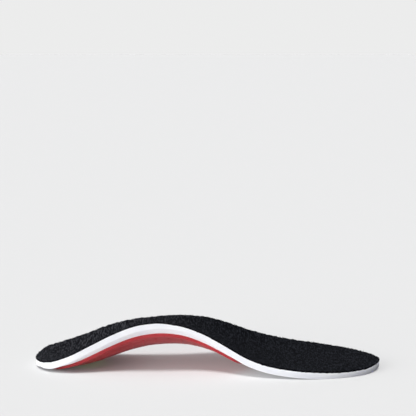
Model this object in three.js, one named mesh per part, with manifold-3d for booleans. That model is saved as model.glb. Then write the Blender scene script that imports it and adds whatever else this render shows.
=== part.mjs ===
// Cushioned arch-support insole for a left foot, in millimetres, lying at rest on its heel and forefoot.
// While it is shaped, X runs from the back of the heel (0) to the tip of the toe, +Y is the outer
// (little-toe) side and +Z is up. The finished group is then moved so that its box is centred on the
// origin and stands on Z = 0.
//
// Four bonded layers, from the foot down: a brushed fabric cover, a full-length foam base, a stiff arch
// shell under the heel and arch, and a soft round heel pad held in the shell's window.

import * as THREE from 'three';
import { mergeVertices } from 'three/addons/utils/BufferGeometryUtils.js';
import Module from 'manifold-3d';

const wasm = await Module();
wasm.setup();

// ---------------------------------------------------------------- driving dimensions

const COVER_THICKNESS = 1.0;
const SHELL_THICKNESS = 2.0;
const PAD_DIAMETER = 30;
const PAD_THICKNESS = 3.6;
const PAD_CENTRE = [38.5, 0.3];
const BOND_GAP = 0.3; // room left for the adhesive between two layers
const CUT_MARGIN = 5; // how far a cutting tool reaches past what it cuts

const WINDOW_DIAMETER = PAD_DIAMETER + 2 * BOND_GAP;
const SHELL_DEPTH = BOND_GAP + SHELL_THICKNESS; // how far the shell stands below the foam
const HEEL_REST = [4.5, 60]; // stretch of the heel in which the shell rests flat on the floor

const ROWS = 46; // mesh rows from heel to toe
const COLUMNS = 12; // mesh columns across, even

// Outline of the insole seen from above, anticlockwise from the back of the heel.
const OUTLINE = [
  [0, 0], [1.5, -11], [8.4, -22.8], [28, -32.8], [60, -34.8], [100, -38.6], [140, -44.2],
  [175, -48.2], [205, -48], [230, -43.6], [247.5, -35.6], [258.6, -25], [263, -12.5], [259.6, 1],
  [247.5, 20.2], [228, 35], [205, 42.4], [175, 46.8], [150, 46], [120, 42], [90, 39], [60, 37.5],
  [28, 33.2], [9, 22.4], [1.7, 11],
];

// Outline of the arch shell: a rounded heel, two shoulders and a narrow tongue.
const SHELL_OUTLINE = [
  [7, 0], [13, -13.5], [24, -24.4], [40, -28.6], [70, -29.2], [100, -30], [125, -32.2], [145, -34.4],
  [152.5, -32.4], [157, -25.6], [162.5, -19], [170, -13.6], [176, -7.6], [178.5, 0], [176, 8],
  [169, 15.6], [161, 19.2], [153, 23.6], [146, 30], [138, 31.6], [110, 29.8], [70, 28.6], [40, 28],
  [24, 24.4], [13, 14.6],
];

// Height of the foam's upper edge above the floor, by distance from the back of the heel.
const INNER_RIM = profile([
  [0, 5.8], [12, 7.4], [25, 12.2], [45, 22.5], [65, 32.5], [80, 38], [96, 40.2], [113, 38.2],
  [130, 32.4], [148, 22.7], [163, 14.6], [182, 8.9], [207, 5.5], [235, 4.1], [250, 4.3], [263, 6],
]);
const OUTER_RIM = profile([
  [0, 5.8], [5, 8], [14, 9.4], [32, 13.6], [47, 19], [62, 23.6], [82, 26.8], [107, 28.4], [128, 26.6],
  [148, 21.2], [166, 14.6], [188, 9.4], [210, 6.6], [235, 5.3], [250, 5.2], [263, 6],
]);

// Height of the foam's underside along its middle line, and how thick the foam is there.
const SOLE_LINE = profile([
  [0, 1.5], [9, 2.1], [15, 1.9], [22, 2.1], [30, 2.6], [42, 4], [56, 7.8], [74, 13.4], [92, 17.3],
  [108, 18.2], [122, 17.2], [135, 14.8], [150, 9.8], [165, 5], [180, 2.7], [197, 0.8],
  [212, -0.2], [240, -0.2], [252, 0.3], [263, 1.6],
]);
const MIDDLE_THICKNESS = profile([[0, 4.3], [45, 3.9], [95, 6.4], [150, 5.6], [200, 5], [263, 4.4]]);
const EDGE_THICKNESS = profile([
  [0, 4.3], [10, 5.2], [40, 5.1], [75, 4.6], [112, 3.3], [148, 4.7], [160, 5.2], [175, 5.1], [263, 4.4],
]);

// How late the section turns up towards its rim: a bigger power is a flatter middle.
const INNER_POWER = profile([[0, 2.4], [45, 2.1], [80, 1.5], [110, 1.45], [148, 2.2], [200, 3], [263, 3]]);
const OUTER_POWER = profile([[0, 2.4], [60, 2.3], [110, 2.2], [200, 3], [263, 3]]);

const BLACK_FABRIC = new THREE.MeshStandardMaterial({ color: 0x24262b, roughness: 0.95, metalness: 0 });
const WHITE_FOAM = new THREE.MeshStandardMaterial({ color: 0xf0f0f3, roughness: 0.8, metalness: 0 });
const RED_PLASTIC = new THREE.MeshStandardMaterial({ color: 0xa52d32, roughness: 0.3, metalness: 0 });
const YELLOW_GEL = new THREE.MeshStandardMaterial({ color: 0xe8de6e, roughness: 0.6, metalness: 0 });

// ---------------------------------------------------------------- curves

// A smooth function through a few points [x, value], flat-ended and with no overshoot between points.
function profile(points) {
  const slopes = points.map((point, i) => {
    if (i === 0 || i === points.length - 1) return 0;
    const [before, after] = [points[i - 1], points[i + 1]];
    const left = (point[1] - before[1]) / (point[0] - before[0]);
    const right = (after[1] - point[1]) / (after[0] - point[0]);
    return left * right <= 0 ? 0 : (2 * left * right) / (left + right);
  });
  return (x) => {
    if (x <= points[0][0]) return points[0][1];
    const last = points.length - 1;
    if (x >= points[last][0]) return points[last][1];
    const i = points.findIndex((point) => point[0] > x) - 1;
    const width = points[i + 1][0] - points[i][0];
    const t = (x - points[i][0]) / width;
    return points[i][1] * (2 * t ** 3 - 3 * t ** 2 + 1)
      + slopes[i] * width * (t ** 3 - 2 * t ** 2 + t)
      + points[i + 1][1] * (3 * t ** 2 - 2 * t ** 3)
      + slopes[i + 1] * width * (t ** 3 - t ** 2);
  };
}

function closedCurve(points, count) {
  const corners = points.map(([x, y]) => new THREE.Vector3(x, y, 0));
  return new THREE.CatmullRomCurve3(corners, true, 'centripetal').getPoints(count);
}

const OUTLINE_CURVE = closedCurve(OUTLINE, 920);
const HEEL_X = Math.min(...OUTLINE_CURVE.map((point) => point.x));
const TOE_X = Math.max(...OUTLINE_CURVE.map((point) => point.x));

// Where the outline crosses a given X: the inner (negative Y) and outer (positive Y) edges.
function edgesAt(distance) {
  const x = Math.min(Math.max(distance, HEEL_X), TOE_X);
  let inner = Infinity;
  let outer = -Infinity;
  for (let i = 1; i < OUTLINE_CURVE.length; i += 1) {
    const [a, b] = [OUTLINE_CURVE[i - 1], OUTLINE_CURVE[i]];
    if (a.x === b.x || (a.x - x) * (b.x - x) > 0) continue;
    const y = a.y + ((x - a.x) / (b.x - a.x)) * (b.y - a.y);
    inner = Math.min(inner, y);
    outer = Math.max(outer, y);
  }
  return [inner, outer];
}

// ---------------------------------------------------------------- the foam's two surfaces

// From the middle height to the rim height. The place across the section runs from -1 at the inner
// edge, through 0 in the middle, to 1 at the outer edge.
function crossSection(x, across, middle, drop) {
  const rim = (across < 0 ? INNER_RIM(x) : OUTER_RIM(x)) - drop;
  const power = across < 0 ? INNER_POWER(x) : OUTER_POWER(x);
  return middle + (rim - middle) * Math.abs(across) ** power;
}

function foamTop(x, across) {
  return crossSection(x, across, SOLE_LINE(x) + MIDDLE_THICKNESS(x), 0);
}

// The underside is flat where the insole rests: on the foam itself in front, on the shell at the heel.
function foamBottom(x, across) {
  const lowest = x > HEEL_REST[0] && x < HEEL_REST[1] ? SHELL_DEPTH : 0;
  return Math.max(lowest, crossSection(x, across, SOLE_LINE(x), EDGE_THICKNESS(x)));
}

// ---------------------------------------------------------------- solids

// A closed layer over the whole outline, between two heights given by (x, across). Its rows crowd
// together at the heel and the toe, where they shrink to one point.
function layer(lower, upper) {
  const positions = [];
  const triangles = [];
  for (const height of [lower, upper]) {
    for (let row = 0; row <= ROWS; row += 1) {
      const x = HEEL_X + ((TOE_X - HEEL_X) * (1 - Math.cos((Math.PI * row) / ROWS))) / 2;
      const atTip = row === 0 || row === ROWS;
      const [inner, outer] = edgesAt(x);
      for (let column = 0; column <= COLUMNS; column += 1) {
        const across = atTip ? 0 : Math.sin((Math.PI / 2) * ((2 * column) / COLUMNS - 1));
        const y = (inner + outer) / 2 + ((outer - inner) / 2) * across;
        positions.push(x, y, height(x, across));
      }
    }
  }
  const perSide = (ROWS + 1) * (COLUMNS + 1);
  const vertex = (side, row, column) => side * perSide + row * (COLUMNS + 1) + column;
  const quad = (a, b, c, d) => triangles.push(a, b, c, a, c, d);
  for (let row = 0; row < ROWS; row += 1) {
    for (let column = 0; column < COLUMNS; column += 1) {
      quad(vertex(0, row, column), vertex(0, row, column + 1),
        vertex(0, row + 1, column + 1), vertex(0, row + 1, column));
      quad(vertex(1, row, column), vertex(1, row + 1, column),
        vertex(1, row + 1, column + 1), vertex(1, row, column + 1));
    }
    quad(vertex(0, row, 0), vertex(0, row + 1, 0), vertex(1, row + 1, 0), vertex(1, row, 0));
    quad(vertex(0, row + 1, COLUMNS), vertex(0, row, COLUMNS),
      vertex(1, row, COLUMNS), vertex(1, row + 1, COLUMNS));
  }
  const geometry = new THREE.BufferGeometry();
  geometry.setAttribute('position', new THREE.Float32BufferAttribute(positions, 3));
  geometry.setIndex(triangles);
  return welded(geometry);
}

// Vertices within a hair of each other become one, and triangles left with no area are dropped.
function welded(geometry) {
  geometry.deleteAttribute('normal');
  geometry.deleteAttribute('uv');
  const merged = mergeVertices(geometry, 1e-4);
  const index = merged.getIndex().array;
  const kept = [];
  for (let i = 0; i < index.length; i += 3) {
    const [a, b, c] = [index[i], index[i + 1], index[i + 2]];
    if (a !== b && b !== c && c !== a) kept.push(a, b, c);
  }
  merged.setIndex(kept);
  return merged;
}

function toSolid(geometry) {
  return new wasm.Manifold(new wasm.Mesh({
    numProp: 3,
    vertProperties: new Float32Array(geometry.getAttribute('position').array),
    triVerts: new Uint32Array(geometry.getIndex().array),
  }));
}

function toGeometry(solid) {
  const mesh = solid.getMesh();
  const geometry = new THREE.BufferGeometry();
  geometry.setAttribute('position', new THREE.Float32BufferAttribute(mesh.vertProperties, 3));
  geometry.setIndex(new THREE.Uint32BufferAttribute(mesh.triVerts, 1));
  return geometry;
}

// A straight-sided cutter with the given outline, taller than the whole insole.
function cutter(outline) {
  const height = 60;
  const shape = new THREE.Shape(outline.map(({ x, y }) => new THREE.Vector2(x, y)));
  const geometry = new THREE.ExtrudeGeometry(shape, { depth: height, bevelEnabled: false });
  geometry.translate(0, 0, -CUT_MARGIN);
  return toSolid(welded(geometry));
}

function roundCutter(diameter) {
  const circle = new THREE.EllipseCurve(...PAD_CENTRE, diameter / 2, diameter / 2);
  return cutter(circle.getPoints(40).slice(0, -1));
}

// ---------------------------------------------------------------- the four pieces

const shellOuter = (x, across) => foamBottom(x, across) - SHELL_DEPTH;
const shellInner = (x, across) => foamBottom(x, across) - BOND_GAP;
const padInner = (x, across) => shellOuter(x, across) + PAD_THICKNESS;
const pocketRoof = (x, across) => padInner(x, across) + BOND_GAP;
const belowShell = (x, across) => shellOuter(x, across) - CUT_MARGIN;

function topCover() {
  const lower = (x, across) => foamTop(x, across) + BOND_GAP;
  const upper = (x, across) => lower(x, across) + COVER_THICKNESS;
  return layer(lower, upper);
}

function foamBase() {
  const body = toSolid(layer(foamBottom, foamTop));
  const pocket = toSolid(layer(belowShell, pocketRoof)).intersect(roundCutter(WINDOW_DIAMETER));
  return toGeometry(body.subtract(pocket));
}

function archShell() {
  const plate = toSolid(layer(shellOuter, shellInner));
  const outline = cutter(closedCurve(SHELL_OUTLINE, 100).slice(0, -1));
  return toGeometry(plate.intersect(outline).subtract(roundCutter(WINDOW_DIAMETER)));
}

function heelPad() {
  return toGeometry(toSolid(layer(shellOuter, padInner)).intersect(roundCutter(PAD_DIAMETER)));
}

function piece(name, geometry, material) {
  const mesh = new THREE.Mesh(geometry, material);
  mesh.name = name;
  return mesh;
}

const insole = new THREE.Group();
insole.add(piece('top_cover', topCover(), BLACK_FABRIC));
insole.add(piece('foam_base', foamBase(), WHITE_FOAM));
insole.add(piece('arch_shell', archShell(), RED_PLASTIC));
insole.add(piece('heel_pad', heelPad(), YELLOW_GEL));

const box = new THREE.Box3().setFromObject(insole);
const middle = box.getCenter(new THREE.Vector3());
insole.position.set(-middle.x, -middle.y, -box.min.z);

export default insole;
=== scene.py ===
"""A left arch-support insole lying on a pale studio floor, built around its CAD layers.

The cover, the foam and the shell start as flat sheets of rings that follow their outlines, and the pad
starts as a disc. Each is given its thickness in edit mode and is then formed over the CAD layers, as foam
and fabric are formed over a last. The nap is loose spikes, set round the cover's cut edge.
All lengths are in metres: X runs from heel to toe, +Y is the outer side and +Z is up.
"""

import math

import bpy
import numpy as np
from mathutils import Euler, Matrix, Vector
from mathutils.bvhtree import BVHTree


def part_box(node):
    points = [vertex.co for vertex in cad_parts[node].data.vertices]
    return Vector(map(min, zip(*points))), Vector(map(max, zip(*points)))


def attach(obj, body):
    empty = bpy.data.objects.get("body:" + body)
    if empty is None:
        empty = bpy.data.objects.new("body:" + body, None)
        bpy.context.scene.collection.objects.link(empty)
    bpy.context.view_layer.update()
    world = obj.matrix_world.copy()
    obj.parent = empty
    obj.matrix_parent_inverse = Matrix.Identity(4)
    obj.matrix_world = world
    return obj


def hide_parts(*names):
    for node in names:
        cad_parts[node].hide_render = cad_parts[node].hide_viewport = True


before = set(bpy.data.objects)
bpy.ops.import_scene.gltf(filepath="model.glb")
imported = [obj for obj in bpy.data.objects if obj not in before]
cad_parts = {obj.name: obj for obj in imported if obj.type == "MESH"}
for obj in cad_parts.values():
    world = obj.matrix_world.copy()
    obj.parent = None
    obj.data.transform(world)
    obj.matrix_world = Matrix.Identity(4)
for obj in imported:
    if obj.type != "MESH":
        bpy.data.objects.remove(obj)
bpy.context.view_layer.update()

MM = 0.001

# Thicknesses that the CAD layers give, and the bond line that the finished pieces close up.
BOND_GAP = 0.3 * MM
COVER_THICKNESS = 1.0 * MM
SHELL_THICKNESS = 2.0 * MM
TOUCHING = 0.02 * MM
SHELL_DEPTH = BOND_GAP + SHELL_THICKNESS

# CAD points closer than this along one axis belong to the same row or column.
SAME_PLACE = 0.002 * MM

pad_low, pad_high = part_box("heel_pad")
PAD_CENTRE = np.array([(pad_low.x + pad_high.x) / 2, (pad_low.y + pad_high.y) / 2])
PAD_RADIUS = (pad_high.x - pad_low.x) / 2
PAD_THICKNESS = 3.6 * MM
WINDOW_CLEARANCE = 0.15 * MM


# ------------------------------------------------------------------ the CAD layers, as smooth surfaces


def places(piece):
    """The piece's vertices as rows of X, Y and Z."""
    points = np.empty(len(piece.data.vertices) * 3, np.float32)
    piece.data.vertices.foreach_get("co", points)
    return points.reshape(-1, 3).astype(float)


def read_rows(node):
    """The layer's mesh rows from heel to toe: X of each row, and Y and lower Z of each point across it."""
    points = places(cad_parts[node])
    row_of = np.round(points[:, 0] / SAME_PLACE).astype(int)
    xs, ys, zs = [], [], []
    for key in np.unique(row_of):
        row = points[row_of == key]
        column_of = np.round(row[:, 1] / SAME_PLACE).astype(int)
        columns = [row[column_of == c] for c in np.unique(column_of)]
        xs.append(row[0, 0])
        ys.append([c[0, 1] for c in columns])
        zs.append([c[:, 2].min() for c in columns])
    widest = max(len(y) for y in ys)
    ys = [y if len(y) == widest else [np.mean(y)] * widest for y in ys]
    zs = [z if len(z) == widest else [np.mean(z)] * widest for z in zs]
    return np.array(xs), np.array(ys), np.array(zs)


ROW_X, ROW_Y, COVER_UNDERSIDE = read_rows("top_cover")
HEEL_X, TOE_X = ROW_X[0], ROW_X[-1]
ROWS = len(ROW_X) - 1
COLUMNS = ROW_Y.shape[1] - 1


def tree_of(*nodes):
    vertices, polygons = [], []
    for node in nodes:
        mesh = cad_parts[node].data
        start = len(vertices)
        vertices += [v.co.copy() for v in mesh.vertices]
        polygons += [[start + i for i in p.vertices] for p in mesh.polygons]
    return BVHTree.FromPolygons(vertices, polygons)


def read_underside():
    """Height of the foam's underside at every point of the rows, taken from what lies lowest there."""
    hard = tree_of("arch_shell", "heel_pad")
    foam = tree_of("foam_base")
    heights = np.zeros_like(ROW_Y)
    for row in range(ROWS + 1):
        inner, outer = ROW_Y[row, 0], ROW_Y[row, -1]
        for column in range(COLUMNS + 1):
            nudge = 1e-5 * np.sign((inner + outer) / 2 - ROW_Y[row, column])
            x = min(max(ROW_X[row], HEEL_X + 2e-5), TOE_X - 2e-5)
            origin = Vector((x, ROW_Y[row, column] + nudge, -1))
            hit = hard.ray_cast(origin, Vector((0, 0, 1)))[0]
            if hit is not None:
                heights[row, column] = hit.z + SHELL_DEPTH
                continue
            heights[row, column] = foam.ray_cast(origin, Vector((0, 0, 1)))[0].z
    return heights


FOAM_UNDERSIDE = read_underside()
FOAM_TOP = COVER_UNDERSIDE - BOND_GAP


def cubic(before, here, there, after, t):
    """A smooth curve between here and there."""
    return here + 0.5 * t * (
        there - before
        + t * (2 * before - 5 * here + 4 * there - after
               + t * (3 * (here - there) + after - before)))


def row_place(x):
    """Which mesh row an X falls on. The rows crowd together towards the two tips."""
    share = np.clip((x - HEEL_X) / (TOE_X - HEEL_X), 0, 1)
    return np.arccos(1 - 2 * share) / math.pi * ROWS


def along_rows(table, place):
    """A column of values, smoothly read between the rows."""
    row = np.clip(np.floor(place).astype(int), 0, ROWS - 1)
    t = (place - row).reshape((-1,) + (1,) * (table.ndim - 1))
    around = [np.clip(row + k, 0, ROWS) for k in (-1, 0, 1, 2)]
    return cubic(*(table[i] for i in around), t)


def edges_at(x):
    """The outline's inner and outer Y at each X."""
    place = row_place(np.atleast_1d(x))
    return along_rows(ROW_Y[:, 0], place), along_rows(ROW_Y[:, -1], place)


def height(table, x, y):
    """Height of a formed surface over any point of the plan."""
    inner, outer = edges_at(x)
    half = np.maximum((outer - inner) / 2, 1e-7)
    across = np.clip((y - (inner + outer) / 2) / half, -1, 1)
    place = (np.arcsin(across) / (math.pi / 2) + 1) / 2 * COLUMNS
    column = np.clip(np.floor(place).astype(int), 0, COLUMNS - 1)
    rows = along_rows(table, row_place(x))
    each = np.arange(len(rows))
    around = [np.clip(column + k, 0, COLUMNS) for k in (-1, 0, 1, 2)]
    return cubic(*(rows[each, i] for i in around), place - column)


# ------------------------------------------------------------------ outlines


def crossings(node, x):
    """The inner and outer Y at which the CAD node's edges cross a given X."""
    points = places(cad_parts[node])
    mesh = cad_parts[node].data
    ends = np.empty(len(mesh.edges) * 2, int)
    mesh.edges.foreach_get("vertices", ends)
    a, b = points[ends[0::2]], points[ends[1::2]]
    across = ((a[:, 0] - x) * (b[:, 0] - x) <= 0) & (np.abs(a[:, 0] - b[:, 0]) > 1e-9)
    a, b = a[across], b[across]
    y = a[:, 1] + (x - a[:, 0]) / (b[:, 0] - a[:, 0]) * (b[:, 1] - a[:, 1])
    return y.min(), y.max()


def smooth_loop(loop, times):
    for _ in range(times):
        loop = (np.roll(loop, 1, 0) + 2 * loop + np.roll(loop, -1, 0)) / 4
    return loop


def round_loop(loop, count):
    """The closed curve through the loop's points, in count even steps."""
    fine = []
    for i in range(len(loop)):
        four = [loop[(i + k) % len(loop)] for k in (-1, 0, 1, 2)]
        fine += [cubic(*four, t) for t in np.linspace(0, 1, 12, endpoint=False)]
    fine = np.array(fine + fine[:1])
    run = np.concatenate([[0], np.cumsum(np.linalg.norm(np.diff(fine, axis=0), axis=1))])
    at = np.linspace(0, run[-1], count, endpoint=False)
    return np.stack([np.interp(at, run, fine[:, k]) for k in (0, 1)], 1)


# How many even steps an outline is read in, which is finer than any mesh that follows it.
OUTLINE_POINTS = 1400


def insole_outline():
    inner = np.stack([ROW_X, ROW_Y[:, 0]], 1)
    outer = np.stack([ROW_X, ROW_Y[:, -1]], 1)
    return round_loop(np.concatenate([inner, outer[-2:0:-1]]), OUTLINE_POINTS)


def shell_outline():
    """The shell's edge, read at stations that crowd together towards its heel and its tongue."""
    low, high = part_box("arch_shell")
    turn = np.linspace(0, math.pi, 110)[1:-1]
    xs = low.x + (high.x - low.x) * (1 - np.cos(turn)) / 2
    edges = np.array([crossings("arch_shell", x) for x in xs])
    just_inside = 0.05 * MM
    heel_tip = [low.x, sum(crossings("arch_shell", low.x + just_inside)) / 2]
    tongue_tip = [high.x, sum(crossings("arch_shell", high.x - just_inside)) / 2]
    inner = np.stack([xs, edges[:, 0]], 1)
    outer = np.stack([xs, edges[:, 1]], 1)[::-1]
    loop = np.concatenate([[heel_tip], inner, [tongue_tip], outer])
    return smooth_loop(round_loop(loop, OUTLINE_POINTS), 12)


def reach(outline, centre, angle):
    """How far the outline lies from a point inside it, in a given direction."""
    a = outline - centre
    b = np.roll(a, -1, 0)
    way = np.array([math.cos(angle), math.sin(angle)])
    side_a = a[:, 0] * way[1] - a[:, 1] * way[0]
    side_b = b[:, 0] * way[1] - b[:, 1] * way[0]
    cut = side_a * side_b <= 0
    t = side_a[cut] / (side_a[cut] - side_b[cut] + 1e-15)
    meets = a[cut] + t[:, None] * (b[cut] - a[cut])
    return (meets @ way).max()


def side_at(outline, x):
    """Inner and outer Y of an outline at a given X."""
    a, b = outline, np.roll(outline, -1, 0)
    cut = (a[:, 0] - x) * (b[:, 0] - x) <= 0
    a, b = a[cut], b[cut]
    y = a[:, 1] + (x - a[:, 0]) / (b[:, 0] - a[:, 0] + 1e-15) * (b[:, 1] - a[:, 1])
    return y.min(), y.max()


def rim_and_middle(outline, start, end, step):
    """Points round the outline, and for each the point of the middle line that its rings shrink to.

    Between start and end both sides share their stations. Past them the points fan out round the ends.
    """
    stations = np.linspace(start, end, int(round((end - start) / step)) + 1)
    sides = np.array([side_at(outline, x) for x in stations])
    spine = np.stack([stations, sides.mean(1)], 1)
    inner = np.stack([stations, sides[:, 0]], 1)
    outer = np.stack([stations, sides[:, 1]], 1)
    toe_fan = fan(outline, spine[-1], -math.pi / 2, step)
    heel_fan = fan(outline, spine[0], math.pi / 2, step)
    rim = np.concatenate([inner, toe_fan, outer[::-1], heel_fan])
    middle = np.concatenate([
        spine, np.tile(spine[-1], (len(toe_fan), 1)), spine[::-1], np.tile(spine[0], (len(heel_fan), 1))])
    return rim, middle


def fan(outline, centre, first, step):
    """Outline points on a half turn of rays from a point, without the first and last ray."""
    spread = math.pi * reach(outline, centre, first + math.pi / 2)
    turn = np.linspace(first, first + math.pi, int(round(spread / step)) + 1)[1:-1]
    return np.array([
        centre + reach(outline, centre, t) * np.array([math.cos(t), math.sin(t)]) for t in turn])


# ------------------------------------------------------------------ modelling steps


def only(piece):
    bpy.ops.object.select_all(action="DESELECT")
    piece.select_set(True)
    bpy.context.view_layer.objects.active = piece


def edit(piece, mode="VERT"):
    only(piece)
    bpy.ops.object.mode_set(mode="EDIT")
    bpy.ops.mesh.select_mode(type=mode)


def leave():
    bpy.ops.object.mode_set(mode="OBJECT")


def set_places(piece, points):
    piece.data.vertices.foreach_set("co", points.astype(np.float32).ravel())
    piece.data.update()


def pick(piece, mode, mask):
    """Opens the piece in edit mode with just the masked vertices, edges or faces selected."""
    edit(piece, mode)
    bpy.ops.mesh.select_all(action="DESELECT")
    leave()
    parts = {"VERT": piece.data.vertices, "EDGE": piece.data.edges, "FACE": piece.data.polygons}[mode]
    parts.foreach_set("select", mask)
    bpy.ops.object.mode_set(mode="EDIT")


def ring_sheet(name, rim, middle, edge_inset, rings):
    """A flat sheet of rings: a grid wrapped round the outline, its seam and its middle line merged.

    The first ring lies edge_inset inside the rim, and the others divide what is left evenly.
    """
    around = len(rim)
    bpy.ops.object.select_all(action="DESELECT")
    bpy.ops.mesh.primitive_grid_add(x_subdivisions=around, y_subdivisions=rings, size=1)
    piece = bpy.context.object
    piece.name = piece.data.name = name
    grid = places(piece)
    turn = np.round((grid[:, 0] + 0.5) * around).astype(int) % around
    ring = np.round((grid[:, 1] + 0.5) * rings).astype(int)
    half = np.linalg.norm(rim - middle, axis=1)[turn]
    deep = np.where(ring == 0, 0, edge_inset + (half - edge_inset) * (ring - 1) / (rings - 1))
    flat = rim[turn] + (deep / half)[:, None] * (middle[turn] - rim[turn])
    set_places(piece, np.column_stack([flat, np.zeros(len(flat))]))
    edit(piece)
    bpy.ops.mesh.select_all(action="SELECT")
    bpy.ops.mesh.remove_doubles(threshold=0.01 * MM)
    bpy.ops.mesh.normals_make_consistent(inside=False)
    leave()
    return piece


def thicken(piece, depth):
    """Extrudes the whole flat sheet straight down, which makes it a slab."""
    edit(piece, "FACE")
    bpy.ops.mesh.select_all(action="SELECT")
    bpy.ops.mesh.extrude_region_move(TRANSFORM_OT_translate={"value": (0, 0, -depth)})
    bpy.ops.mesh.select_all(action="SELECT")
    bpy.ops.mesh.normals_make_consistent(inside=False)
    leave()


def round_rim(piece, upper, radius, segments):
    """Bevels the flat slab's upper or lower rim edges."""
    edit(piece, "EDGE")
    bpy.ops.mesh.select_all(action="DESELECT")
    bpy.ops.mesh.edges_select_sharp(sharpness=math.radians(70))
    leave()
    edges = piece.data.edges
    sharp = np.zeros(len(edges), bool)
    edges.foreach_get("select", sharp)
    ends = np.empty(len(edges) * 2, int)
    edges.foreach_get("vertices", ends)
    z = places(piece)[:, 2]
    height_of = (z[ends[0::2]] + z[ends[1::2]]) / 2
    level = z.max() if upper else z.min()
    pick(piece, "EDGE", sharp & (np.abs(height_of - level) < 0.01 * MM))
    bpy.ops.mesh.bevel(offset=radius, segments=segments, profile=0.5, affect="EDGES")
    leave()


def form(piece, upper, lower):
    """Bends the flat slab so that its top and bottom lie on two surfaces."""
    points = places(piece)
    depth = (points[:, 2].max() - points[:, 2]) / (points[:, 2].max() - points[:, 2].min())
    top = upper(points[:, 0], points[:, 1])
    bottom = lower(points[:, 0], points[:, 1])
    points[:, 2] = top + (bottom - top) * depth
    set_places(piece, points)


def finish_piece(piece, material, slot, *replaced):
    only(piece)
    bpy.ops.object.shade_smooth_by_angle(angle=math.radians(40))
    piece.data.materials.clear()
    piece.data.materials.append(material)
    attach(piece, "root")
    if replaced:
        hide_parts(*replaced)


# ------------------------------------------------------------------ materials


class Finish:
    """A procedural material: a Principled shader with noise laid out in the piece's own metres."""

    def __init__(self, name, **settings):
        self.material = bpy.data.materials.new(name)
        self.material.use_nodes = True
        self.tree = self.material.node_tree
        self.shader = self.tree.nodes["Principled BSDF"]
        self.place = self.node("ShaderNodeTexCoord").outputs["Object"]
        self.normal = None
        for key, value in settings.items():
            self.shader.inputs[key.replace("_", " ")].default_value = value

    def node(self, kind, **settings):
        made = self.tree.nodes.new(kind)
        for key, value in settings.items():
            setattr(made, key, value)
        return made

    def put(self, value, socket):
        if isinstance(value, bpy.types.NodeSocket):
            self.tree.links.new(value, socket)
        else:
            socket.default_value = value

    def noise(self, size, detail=4, roughness=0.55, stretch=(1, 1, 1), turn=0.0):
        """Noise whose features measure about size metres, longer along the axes that stretch names."""
        mapping = self.node("ShaderNodeMapping")
        mapping.inputs["Rotation"].default_value = (0, 0, turn)
        mapping.inputs["Scale"].default_value = [1 / s for s in stretch]
        self.put(self.place, mapping.inputs["Vector"])
        noise = self.node("ShaderNodeTexNoise")
        self.put(mapping.outputs["Vector"], noise.inputs["Vector"])
        noise.inputs["Scale"].default_value = 1 / size
        noise.inputs["Detail"].default_value = detail
        noise.inputs["Roughness"].default_value = roughness
        return noise.outputs["Fac"]

    def along(self, start, end):
        """Rises from 0 to 1 between two X."""
        split = self.node("ShaderNodeSeparateXYZ")
        self.put(self.place, split.inputs[0])
        spread = self.node("ShaderNodeMapRange", interpolation_type="SMOOTHSTEP")
        self.put(split.outputs["X"], spread.inputs["Value"])
        spread.inputs["From Min"].default_value = start
        spread.inputs["From Max"].default_value = end
        return spread.outputs["Result"]

    def cells(self, size):
        """Rounded cells about size metres apart."""
        voronoi = self.node("ShaderNodeTexVoronoi")
        self.put(self.place, voronoi.inputs["Vector"])
        voronoi.inputs["Scale"].default_value = 1 / size
        return voronoi.outputs["Distance"]

    def ramp(self, value, *stops):
        """Turns a value into a colour. Each stop is a place from 0 to 1 and a colour."""
        ramp = self.node("ShaderNodeValToRGB")
        elements = ramp.color_ramp.elements
        while len(elements) < len(stops):
            elements.new(1.0)
        for element, (at, colour) in zip(elements, stops):
            element.position = at
            element.color = (*colour, 1)
        self.put(value, ramp.inputs["Fac"])
        return ramp.outputs["Color"]

    def mix(self, share, one, other, blend="MIX"):
        mix = self.node("ShaderNodeMix", data_type="RGBA", blend_type=blend)
        self.put(share, mix.inputs["Factor"])
        self.put(one, mix.inputs["A"])
        self.put(other, mix.inputs["B"])
        return mix.outputs["Result"]

    def combine(self, operation, one, other):
        node = self.node("ShaderNodeMath", operation=operation)
        self.put(one, node.inputs[0])
        self.put(other, node.inputs[1])
        return node.outputs[0]

    def bump(self, value, depth, strength=1.0):
        """Adds relief of the given depth in metres to what is there already."""
        bump = self.node("ShaderNodeBump")
        bump.inputs["Strength"].default_value = strength
        bump.inputs["Distance"].default_value = depth
        self.put(value, bump.inputs["Height"])
        if self.normal is not None:
            self.put(self.normal, bump.inputs["Normal"])
        self.normal = bump.outputs["Normal"]
        self.put(self.normal, self.shader.inputs["Normal"])

    def colour(self, value):
        self.put(value, self.shader.inputs["Base Color"])

    def roughness(self, value, low, high):
        spread = self.node("ShaderNodeMapRange")
        self.put(value, spread.inputs["Value"])
        spread.inputs["To Min"].default_value = low
        spread.inputs["To Max"].default_value = high
        self.put(spread.outputs["Result"], self.shader.inputs["Roughness"])


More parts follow.
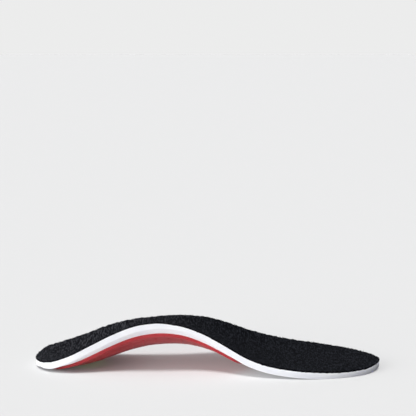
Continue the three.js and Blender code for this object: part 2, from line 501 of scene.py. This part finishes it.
def brushed_fabric():
    """Black brushed knit: a nap combed across the foot, with faint clouds, and lighter at the heel."""
    finish = Finish(
        "black_brushed_fabric", Specular_IOR_Level=0.02, Sheen_Weight=0.012, Sheen_Roughness=0.4)
    finish.shader.inputs["Sheen Tint"].default_value = (0.8, 0.87, 1.0, 1)
    streaks = finish.noise(1.0 * MM, detail=4, roughness=0.6, stretch=(1, 5, 2), turn=math.radians(5))
    nap = finish.noise(0.35 * MM, detail=4, roughness=0.65, stretch=(1, 3, 2), turn=math.radians(5))
    tufts = finish.noise(0.8 * MM, detail=3, roughness=0.7)
    clouds = finish.noise(16 * MM, detail=3)
    fibre = finish.mix(0.42, streaks, finish.mix(0.5, nap, tufts))
    combed = finish.ramp(fibre, (0.44, (0.0004, 0.0005, 0.0010)), (0.50, (0.0034, 0.0038, 0.0050)),
                         (0.57, (0.020, 0.021, 0.025)))
    cloudy = finish.mix(finish.combine("MULTIPLY", clouds, 0.35), combed, (0.0040, 0.0044, 0.0055, 1))
    # The colour is made lighter towards the heel and darker towards the toe, along X.
    from_heel = finish.along(HEEL_X + 60 * MM, HEEL_X + 150 * MM)
    tone = finish.ramp(from_heel, (0, (2.0, 1.92, 1.85)), (1, (0.80, 0.82, 0.86)))
    finish.colour(finish.mix(1.0, cloudy, tone, blend="MULTIPLY"))
    finish.roughness(fibre, 0.85, 1.0)
    finish.bump(streaks, 0.18 * MM)
    finish.bump(tufts, 0.12 * MM)
    finish.bump(nap, 0.08 * MM)
    return finish.material


def closed_cell_foam():
    """White moulded foam: a fine closed-cell skin with a trace of blue in its thicker patches."""
    finish = Finish("white_closed_cell_foam", Specular_IOR_Level=0.25, Subsurface_Weight=0.35)
    finish.shader.inputs["Subsurface Radius"].default_value = (1.0, 1.0, 1.1)
    finish.shader.inputs["Subsurface Scale"].default_value = 2.5 * MM
    cells = finish.cells(0.35 * MM)
    grain = finish.noise(0.8 * MM, detail=5, roughness=0.6)
    clouds = finish.noise(18 * MM, detail=3)
    skin = finish.ramp(clouds, (0.3, (0.80, 0.808, 0.85)), (0.7, (0.86, 0.865, 0.888)))
    finish.colour(finish.mix(finish.combine("MULTIPLY", grain, 0.12), skin, (0.70, 0.71, 0.77, 1)))
    finish.roughness(grain, 0.55, 0.8)
    finish.bump(clouds, 0.25 * MM, 0.6)
    finish.bump(grain, 0.04 * MM)
    finish.bump(cells, 0.02 * MM)
    return finish.material


def moulded_plastic():
    """Deep red moulded plastic: a satin skin that glows a little where it is thin."""
    finish = Finish("red_moulded_plastic", IOR=1.35, Specular_IOR_Level=0.5, Subsurface_Weight=0.12)
    finish.shader.inputs["Subsurface Radius"].default_value = (1.0, 0.15, 0.15)
    finish.shader.inputs["Subsurface Scale"].default_value = 2.5 * MM
    flow = finish.noise(9 * MM, detail=4, stretch=(4, 1, 1))
    fine = finish.noise(0.5 * MM, detail=4, roughness=0.6)
    scuff = finish.noise(2.2 * MM, detail=5, roughness=0.7, stretch=(5, 1, 1))
    finish.colour(finish.ramp(flow, (0.28, (0.32, 0.018, 0.025)), (0.5, (0.37, 0.025, 0.032)),
                              (0.72, (0.44, 0.036, 0.046))))
    finish.roughness(scuff, 0.22, 0.42)
    finish.bump(flow, 0.10 * MM, 0.5)
    finish.bump(fine, 0.008 * MM)
    return finish.material


def soft_pad():
    """Pale yellow soft pad with an open, slightly mottled grain."""
    finish = Finish("yellow_soft_pad", Specular_IOR_Level=0.3, Subsurface_Weight=0.2)
    finish.shader.inputs["Subsurface Radius"].default_value = (1.0, 0.9, 0.3)
    finish.shader.inputs["Subsurface Scale"].default_value = 1.5 * MM
    mottle = finish.noise(3.5 * MM, detail=4)
    grain = finish.noise(0.6 * MM, detail=5, roughness=0.65)
    pores = finish.cells(0.5 * MM)
    finish.colour(finish.ramp(mottle, (0.3, (0.74, 0.64, 0.12)), (0.7, (0.84, 0.77, 0.20))))
    finish.roughness(grain, 0.45, 0.65)
    finish.bump(grain, 0.05 * MM)
    finish.bump(pores, 0.04 * MM)
    return finish.material


# ------------------------------------------------------------------ the insole's layers

OUTLINE = insole_outline()
SHELL_OUTLINE = shell_outline()
CELL = 1.2 * MM
SHELL_CELL = 0.56 * MM

# Where the middle lines of the insole and of the shell start and end, by X.
INSOLE_SPINE = (HEEL_X + 30 * MM, TOE_X - 38 * MM)
SHELL_SPINE = (SHELL_OUTLINE[:, 0].min() + 24 * MM, SHELL_OUTLINE[:, 0].max() - 15 * MM)


def foam_underside(x, y):
    """The foam's lower face, which never dips below the floor."""
    return np.maximum(height(FOAM_UNDERSIDE, x, y), 0)


def foam_top(x, y):
    return height(FOAM_TOP, x, y)


def from_pad(x, y):
    return np.hypot(x - PAD_CENTRE[0], y - PAD_CENTRE[1])


def wobble(count, waves, seed):
    """Smooth random values round a closed line, mostly between -1 and 1."""
    random = np.random.default_rng(seed)
    turn = np.linspace(0, 2 * math.pi, count, endpoint=False)
    pitch = random.integers(waves // 3, waves, 14)
    shift = random.uniform(0, 2 * math.pi, 14)
    return np.sin(turn[:, None] * pitch + shift).sum(1) / math.sqrt(14)


# The cover's cut rim, in millimetres: how far it stands out past the foam, and how much it wavers.
RIM_OUTSET = 0.21
RIM_WAVER = 0.05


def ragged(rim, middle):
    """The outline pushed out by a thread or two, with the slight waver of a cut fabric edge."""
    outward = (rim - middle) / np.linalg.norm(rim - middle, axis=1)[:, None]
    return rim + outward * ((RIM_OUTSET + RIM_WAVER * wobble(len(rim), 160, seed=3)) * MM)[:, None]


def pile(x, y):
    """The uneven height of a brushed nap, mostly between -1 and 1: ripples of 2.6 to 6 mm every way."""
    random = np.random.default_rng(21)
    total = np.zeros(len(x))
    for _ in range(30):
        way = random.uniform(0, 2 * math.pi)
        length = random.uniform(2.6, 6) * MM
        along = math.cos(way) * x + math.sin(way) * y
        total += np.sin(2 * math.pi * along / length + random.uniform(0, 2 * math.pi))
    return total / 5.5


# A fibre is a spike of seven points: three round its root, three round its elbow, and its tip.
ROOT_RADIUS = 0.09 * MM
ELBOW_RADIUS = 0.06 * MM
FIBRE_FACES = [
    (0, 1, 2),
    (1, 0, 3, 4), (4, 3, 6),
    (2, 1, 4, 5), (5, 4, 6),
    (0, 2, 5, 3), (3, 5, 6),
]
FIBRE_COUNT = 9000


def make_nap(cover_rim, middle):
    """Loose fibre ends that stand out round the cut edge of the cover, each a thin bent spike."""
    random = np.random.default_rng(11)
    count = FIBRE_COUNT
    at = np.sort(random.uniform(0, len(cover_rim), count))
    step = at.astype(int)
    share = (at - step)[:, None]
    after = (step + 1) % len(cover_rim)
    root = cover_rim[step] * (1 - share) + cover_rim[after] * share
    centre = middle[step]
    outward = (root - centre) / np.linalg.norm(root - centre, axis=1)[:, None]
    root = root - outward * random.uniform(0.02, 0.5, count)[:, None] * MM
    z = foam_top(root[:, 0], root[:, 1]) + random.uniform(0.15, 1.2, count) * MM
    clump = 0.55 + 0.45 * wobble(len(cover_rim), 240, seed=5)[step]
    length = np.clip(clump, 0.15, 1.3) * random.uniform(0.4, 1.1, count) * MM
    lean = np.column_stack([0.8 * outward, random.uniform(-0.6, 1.0, count)])
    lean += random.normal(0, 0.35, (count, 3))
    lean /= np.linalg.norm(lean, axis=1)[:, None]
    bend = random.normal(0, 0.35, (count, 3))
    base = np.column_stack([root, z])
    elbow = base + lean * (0.55 * length)[:, None]
    tip = elbow + (lean + bend) * (0.45 * length)[:, None]
    side = np.cross(lean, [0.0, 0.0, 1.0])
    side /= np.linalg.norm(side, axis=1)[:, None] + 1e-9
    other = np.cross(lean, side)
    points, faces = [], []
    for i in range(count):
        first = len(points)
        for centre_point, radius in ((base[i], ROOT_RADIUS), (elbow[i], ELBOW_RADIUS)):
            for turn in (0, 2 * math.pi / 3, 4 * math.pi / 3):
                points.append(centre_point + radius * (math.cos(turn) * side[i] + math.sin(turn) * other[i]))
        points.append(tip[i])
        faces += [tuple(first + corner for corner in face) for face in FIBRE_FACES]
    mesh = bpy.data.meshes.new("cover_nap")
    mesh.from_pydata([tuple(p) for p in points], [], faces)
    nap = bpy.data.objects.new("cover_nap", mesh)
    bpy.context.collection.objects.link(nap)
    edit(nap)
    bpy.ops.mesh.select_all(action="SELECT")
    bpy.ops.mesh.normals_make_consistent(inside=False)
    leave()
    return nap


# The cover's pile, in millimetres: its rise on the top and, more, at the rim, how far the rim is
# pressed down, and how far on average the rim's wall hangs over the foam's edge.
PILE_ON_TOP = 0.06
PILE_AT_RIM = 0.30
RIM_PRESSED = 0.16
RIM_HANGS = 0.06


def make_cover():
    rim, middle = rim_and_middle(OUTLINE, *INSOLE_SPINE, CELL)
    rim = ragged(rim, middle)
    thickness = COVER_THICKNESS + BOND_GAP - TOUCHING
    cover = ring_sheet("brushed_cover", rim, middle, edge_inset=0.9 * MM, rings=38)
    thicken(cover, thickness)
    round_rim(cover, upper=True, radius=0.55 * MM, segments=4)
    round_rim(cover, upper=False, radius=0.2 * MM, segments=2)

    def top(x, y):
        at_rim = step_up(-distance_to(rim, x, y), -1.5 * MM, 0)
        nap = pile(x, y)
        uneven = PILE_ON_TOP * nap + at_rim * (PILE_AT_RIM * nap - RIM_PRESSED)
        return foam_top(x, y) + TOUCHING + thickness + uneven * MM

    def bottom(x, y):
        """The underside, with the outermost wall hanging a little over the foam's edge."""
        wall = distance_to(rim, x, y) < 0.03 * MM
        return foam_top(x, y) + TOUCHING - wall * (RIM_HANGS + PILE_AT_RIM * pile(y, x)) * MM

    form(cover, top, bottom)
    fabric = brushed_fabric()
    finish_piece(cover, fabric, "cover_fabric", "top_cover")
    nap = make_nap(rim, middle)
    finish_piece(nap, fabric, "cover_fabric")
    return cover


# The flat foam's depth is near its finished one, so that its bevels keep their shape when it is formed.
FOAM_SLAB = 5 * MM
POCKET_CLEARANCE = 1.8 * MM


def make_foam():
    rim, middle = rim_and_middle(OUTLINE, *INSOLE_SPINE, CELL)
    foam = ring_sheet("moulded_foam", rim, middle, edge_inset=2.0 * MM, rings=36)
    thicken(foam, FOAM_SLAB)
    round_rim(foam, upper=True, radius=0.2 * MM, segments=2)
    round_rim(foam, upper=False, radius=0.45 * MM, segments=4)

    def underside(x, y):
        """The underside with the pad's pocket in it, wide enough for its sloping wall to clear the pad."""
        pocket = PAD_THICKNESS - SHELL_DEPTH + TOUCHING
        return foam_underside(x, y) + pocket * (from_pad(x, y) < PAD_RADIUS + POCKET_CLEARANCE)

    form(foam, foam_top, underside)
    finish_piece(foam, closed_cell_foam(), "base_foam", "foam_base")
    return foam


def open_window(shell, radius):
    """Cuts a round window in the flat sheet and draws its edge on to a true circle."""
    polygons = shell.data.polygons
    centres = np.empty(len(polygons) * 3)
    polygons.foreach_get("center", centres)
    centres = centres.reshape(-1, 3)
    pick(shell, "FACE", from_pad(centres[:, 0], centres[:, 1]) < radius)
    bpy.ops.mesh.delete(type="FACE")
    bpy.ops.mesh.select_all(action="DESELECT")
    bpy.ops.mesh.select_mode(type="EDGE")
    bpy.ops.mesh.select_non_manifold(extend=False)
    bpy.ops.mesh.select_mode(type="VERT")
    leave()
    points = places(shell)
    edge = np.zeros(len(points), bool)
    shell.data.vertices.foreach_get("select", edge)
    away = from_pad(points[:, 0], points[:, 1])
    edge &= away < radius + 2 * MM
    ratio = (radius / away[edge])[:, None]
    points[edge, :2] = PAD_CENTRE + (points[edge, :2] - PAD_CENTRE) * ratio
    set_places(shell, points)
    pick(shell, "VERT", ~edge & (away < radius + 2.5 * MM))
    bpy.ops.mesh.vertices_smooth(factor=0.5, repeat=6)
    leave()


# The shell's moulded lines, in millimetres from the middle of the heel pad: along the foot, then across.
BORDER_LINE = [
    (111.2, -24.1), (116.6, -17.2), (126.8, -13.4), (131.8, -5), (131.8, 4), (124.5, 11.1), (113.5, 17.7),
    (103.6, 25.4), (74.8, 25.6), (31.5, 24.8), (1.5, 23.7), (-14.5, 19.8), (-23.8, 10.5), (-27.5, 0),
    (-23.8, -10.3), (-13.5, -20.4), (-0.5, -24.4),
]
PANEL_LINE = [
    (110.7, -17.7), (117.8, -12.4), (125.6, -9.2), (127.6, -2), (127.4, 3), (124, 7.9), (116.6, 10.6),
    (108, 16.4), (100.8, 22), (74.8, 21.9), (41.5, 21.2), (11, 19.3),
]
RIDGE_OUTER = [
    (108.7, -15.6), (99.1, -9.2), (88.9, -4.4), (77.7, -0.6), (63.5, 1), (49.4, 0.8), (34.5, -0.9),
    (23.3, -3.6),
]
RIDGE_INNER = [
    (108.7, -17.9), (98.5, -13.2), (88.9, -8.7), (80.5, -5.5), (69.2, -4.2), (61.2, -3.6), (47.6, -4),
    (31, -6.5), (17.3, -9.8),
]
RIB_OUTER_ENDS = [
    (103.1, -22.4), (95.7, -17.7), (88.4, -13.6), (78.3, -11.1), (69.2, -10.4), (61.2, -9), (46.4, -8.4),
    (36.3, -10.4), (25, -12.2), (16.8, -14.8), (10.9, -16), (1.9, -18.2),
]
RIB_INNER_ENDS = [
    (103.1, -30.2), (95.7, -29.1), (87.2, -27.5), (76, -26.8), (66.4, -25.4), (56.4, -24.7),
    (37.6, -24.8), (28.6, -26.4), (16.8, -27.2), (7.2, -27),
]
RIB_PITCH = 9.6

# In millimetres: how deep the face and its panel are sunk, and how high the ribs and the ring stand.
FACE_SUNK = 0.26
PANEL_SUNK = 0.16
RIB_TALL = 0.4
RING_TALL = 0.22
RING_RADIUS = 20.5 * MM


def open_curve(points):
    """The smooth curve through a line's points, in metres of the frame."""
    points = np.array([points[0], *points, points[-1]], float)
    fine = [cubic(*points[i:i + 4], t) for i in range(len(points) - 3) for t in np.linspace(0, 1, 24)]
    return PAD_CENTRE + np.array(fine) * MM


def distance_to(curve, x, y):
    nearest = np.full(len(x), 1.0)
    for point_x, point_y in curve:
        nearest = np.minimum(nearest, (x - point_x) ** 2 + (y - point_y) ** 2)
    return np.sqrt(nearest)


def step_up(value, start, end):
    t = np.clip((value - start) / (end - start), 0, 1)
    return t * t * (3 - 2 * t)


def bead(distance, width):
    """A rounded raised line, 1 high in its middle."""
    return np.exp(-(2 * distance / width) ** 2)


def moulding(x, y):
    """How far the shell's outer face is sunk at a point: its panels are low, and its lines stand up."""
    inset = distance_to(SHELL_OUTLINE[::2], x, y)
    along, across = (x - PAD_CENTRE[0]) / MM, (y - PAD_CENTRE[1]) / MM
    ends = [np.array(sorted(line)) for line in (RIB_INNER_ENDS, RIB_OUTER_ENDS)]
    inner, outer = (np.interp(along, line[:, 0], line[:, 1]) for line in ends)
    on_panel = step_up(across, inner - 0.5, inner + 0.4) * step_up(-across, -outer - 0.5, -outer + 0.4)
    first, last = ends[1][0, 0], ends[1][-1, 0]
    on_panel *= step_up(along, first - 0.5, first + 0.5) * step_up(-along, -last - 1.5, -last - 0.5)
    lean = 0.12 * (across - inner) * step_up(-along, -60, -20)
    from_rib = (along - last + 0.4 - lean + RIB_PITCH / 2) % RIB_PITCH - RIB_PITCH / 2
    rib = step_up(-np.abs(from_rib), -1.25, -0.65) * on_panel
    away = from_pad(x, y)

    sunk = FACE_SUNK * step_up(inset, 2.6 * MM, 3.6 * MM)
    sunk += PANEL_SUNK * on_panel
    for line, tall, width in (
        (BORDER_LINE, 0.26, 1.1), (PANEL_LINE, 0.24, 1.1), (RIDGE_OUTER, 0.26, 1.2),
        (RIDGE_INNER, 0.26, 1.2), (RIB_OUTER_ENDS, 0.2, 1.0), (RIB_INNER_ENDS, 0.2, 1.0),
    ):
        sunk -= tall * bead(distance_to(open_curve(line), x, y), width * MM)
    sunk -= RIB_TALL * rib
    sunk -= RING_TALL * bead(away - RING_RADIUS, 1.1 * MM)
    collar = step_up(-away, -18.0 * MM, -17.2 * MM)
    return np.clip(sunk, 0, None) * (1 - collar) * MM


def make_shell():
    rim, middle = rim_and_middle(SHELL_OUTLINE, *SHELL_SPINE, SHELL_CELL)
    thickness = SHELL_DEPTH - TOUCHING
    shell = ring_sheet("support_shell", rim, middle, edge_inset=1.2 * MM, rings=54)
    open_window(shell, PAD_RADIUS + WINDOW_CLEARANCE)
    thicken(shell, thickness)
    round_rim(shell, upper=False, radius=0.7 * MM, segments=4)

    def outer(x, y):
        return foam_underside(x, y) - SHELL_DEPTH + moulding(x, y)

    form(shell, lambda x, y: foam_underside(x, y) - TOUCHING, outer)
    finish_piece(shell, moulded_plastic(), "shell_plastic", "arch_shell")
    return shell


# The disc is divided into rings, and the small face that they leave in its middle into a fan.
PAD_RINGS = 12
PAD_RING_STEP = 1.15 * MM


def make_pad():
    bpy.ops.object.select_all(action="DESELECT")
    bpy.ops.mesh.primitive_circle_add(
        vertices=96, radius=PAD_RADIUS, fill_type="NGON", location=(*PAD_CENTRE, 0))
    pad = bpy.context.object
    pad.name = pad.data.name = "cushion_disc"
    only(pad)
    bpy.ops.object.transform_apply(location=True, rotation=True, scale=True)
    edit(pad, "FACE")
    bpy.ops.mesh.select_all(action="SELECT")
    for _ in range(PAD_RINGS):
        bpy.ops.mesh.inset(thickness=PAD_RING_STEP, depth=0)
    bpy.ops.mesh.poke()
    leave()
    thicken(pad, PAD_THICKNESS)
    round_rim(pad, upper=True, radius=0.3 * MM, segments=2)
    round_rim(pad, upper=False, radius=0.8 * MM, segments=5)

    def lower(x, y):
        away = np.clip(from_pad(x, y) / PAD_RADIUS, 0, 1)
        return foam_underside(x, y) - SHELL_DEPTH + 0.5 * MM * away ** 2

    form(pad, lambda x, y: foam_underside(x, y) + PAD_THICKNESS - SHELL_DEPTH, lower)
    finish_piece(pad, soft_pad(), "pad_gel", "heel_pad")
    return pad


# ------------------------------------------------------------------ studio

# The floor is wide enough to have no edge in sight, and lies a hair below the level of Z = 0.
FLOOR_RADIUS = 40
FLOOR_DROP = 0.01 * MM
FLOOR_GREY = (0.509, 0.509, 0.509)
FLOOR_BOUNCE = (0.6, 0.6, 0.6)
FLOOR_BOUNCE_AT_TOE = (0.13, 0.132, 0.15)
FLOOR_GLOW = (0.045, 0.045, 0.045)
NO_GLOW = (0.0, 0.0, 0.0)


def make_floor():
    """A pale floor that is clear from below, and that throws less light back beside the toe."""
    bpy.ops.object.select_all(action="DESELECT")
    bpy.ops.mesh.primitive_circle_add(
        vertices=64, radius=FLOOR_RADIUS, fill_type="NGON", location=(0, 0, -FLOOR_DROP))
    floor = bpy.context.object
    floor.name = "studio_floor"
    floor_finish = Finish("pale_floor", Roughness=1.0, Specular_IOR_Level=0.0, Emission_Strength=1.0)
    seen = floor_finish.node("ShaderNodeLightPath").outputs["Is Camera Ray"]
    beside_toe = floor_finish.along(HEEL_X + 165 * MM, TOE_X + 5 * MM)
    bounce = floor_finish.ramp(beside_toe, (0, FLOOR_BOUNCE), (1, FLOOR_BOUNCE_AT_TOE))
    floor_finish.colour(floor_finish.mix(seen, bounce, (*FLOOR_GREY, 1)))
    glow = floor_finish.ramp(beside_toe, (0, FLOOR_GLOW), (1, NO_GLOW))
    glow_seen = floor_finish.mix(seen, glow, (*FLOOR_GLOW, 1))
    floor_finish.put(glow_seen, floor_finish.shader.inputs["Emission Color"])
    see_through = floor_finish.node("ShaderNodeBsdfTransparent")
    either = floor_finish.node("ShaderNodeMixShader")
    floor_finish.put(floor_finish.node("ShaderNodeNewGeometry").outputs["Backfacing"], either.inputs[0])
    floor_finish.put(floor_finish.shader.outputs[0], either.inputs[1])
    floor_finish.put(see_through.outputs[0], either.inputs[2])
    output = floor_finish.tree.nodes["Material Output"]
    floor_finish.put(either.outputs[0], output.inputs["Surface"])
    floor.data.materials.append(floor_finish.material)


def make_world():
    """Soft light from all round, stronger from the heel's side, before a backdrop of its own tone."""
    world = bpy.data.worlds.new("even_studio")
    world.use_nodes = True
    tree = world.node_tree
    fill = tree.nodes["Background"]
    fill.inputs["Color"].default_value = (0.40, 0.405, 0.415, 1)
    direction = tree.nodes.new("ShaderNodeSeparateXYZ")
    tree.links.new(tree.nodes.new("ShaderNodeTexCoord").outputs["Generated"], direction.inputs[0])
    falloff = tree.nodes.new("ShaderNodeMapRange")
    falloff.inputs["From Min"].default_value = -0.6
    falloff.inputs["From Max"].default_value = 0.8
    falloff.inputs["To Min"].default_value = 1.3
    falloff.inputs["To Max"].default_value = 0.35
    tree.links.new(direction.outputs["X"], falloff.inputs["Value"])
    tree.links.new(falloff.outputs["Result"], fill.inputs["Strength"])
    backdrop = tree.nodes.new("ShaderNodeBackground")
    backdrop.inputs["Color"].default_value = (0.84, 0.842, 0.84, 1)
    seen = tree.nodes.new("ShaderNodeLightPath").outputs["Is Camera Ray"]
    either = tree.nodes.new("ShaderNodeMixShader")
    tree.links.new(seen, either.inputs[0])
    tree.links.new(fill.outputs[0], either.inputs[1])
    tree.links.new(backdrop.outputs[0], either.inputs[2])
    tree.links.new(either.outputs[0], tree.nodes["World Output"].inputs["Surface"])
    bpy.context.scene.world = world


def make_lamp(name, strength, spread, towards):
    """A distant softbox: its strength, how many degrees it fills, and the direction that it stands in."""
    light = bpy.data.lights.new(name, "SUN")
    light.energy = strength
    light.angle = math.radians(spread)
    lamp = bpy.data.objects.new(name, light)
    lamp.rotation_euler = Vector(towards).to_track_quat("Z", "Y").to_euler()
    bpy.context.collection.objects.link(lamp)
    return lamp


def hang_flag(lamp):
    """Lets only a flag hidden inside the foam block a lamp, so the shadow draws in below the high rims."""
    bpy.ops.object.select_all(action="DESELECT")
    bpy.ops.mesh.primitive_grid_add(x_subdivisions=90, y_subdivisions=12, size=1)
    flag = bpy.context.object
    flag.name = "shadow_flag"
    points = places(flag)
    x = HEEL_X + (points[:, 0] + 0.5) * (TOE_X - HEEL_X)
    x = np.clip(x, HEEL_X + 1 * MM, TOE_X - 1 * MM)
    inner, outer = edges_at(x)
    # Each edge is drawn in by a share of the height that the foam's underside has there.
    inner_share = 0.42 + 0.5 * step_up(x, HEEL_X + 90 * MM, HEEL_X + 160 * MM)
    outer_share = 0.45
    inner = inner + 0.3 * MM + inner_share * foam_underside(x, inner)
    outer = outer - 0.3 * MM - outer_share * foam_underside(x, outer)
    y = inner + (points[:, 1] + 0.5) * (outer - inner)
    set_places(flag, np.column_stack([x, y, foam_underside(x, y) + 2 * MM]))
    net = Finish("flag_net")
    thin = net.combine("MULTIPLY", net.along(HEEL_X + 45 * MM, HEEL_X + 100 * MM), 0.17)
    through = net.node("ShaderNodeBsdfTransparent")
    either = net.node("ShaderNodeMixShader")
    net.put(thin, either.inputs[0])
    net.put(net.shader.outputs[0], either.inputs[1])
    net.put(through.outputs[0], either.inputs[2])
    net.put(either.outputs[0], net.tree.nodes["Material Output"].inputs["Surface"])
    flag.data.materials.append(net.material)
    blockers = bpy.data.collections.new("blocks_overhead_light")
    blockers.objects.link(flag)
    lamp.light_linking.blocker_collection = blockers


def make_camera():
    camera = bpy.data.cameras.new("camera")
    camera.lens = 106.2165
    camera.sensor_width = 36
    holder = bpy.data.objects.new("camera", camera)
    holder.location = (HEEL_X + 132.45 * MM, -926.26 * MM, 243 * MM)
    holder.rotation_euler = Euler((math.radians(82.5273), 0, 0))
    bpy.context.collection.objects.link(holder)
    bpy.context.scene.camera = holder


make_camera()
make_floor()
make_world()
make_lamp("front_softbox", 2.55, 50, (-0.74, -0.65, 0.15))
overhead = make_lamp("overhead_softbox", 3.3, 24, (0, 0, 1))
foam = make_foam()
cover = make_cover()
shell = make_shell()
pad = make_pad()

hang_flag(overhead)

bpy.context.scene.view_settings.view_transform = "Standard"
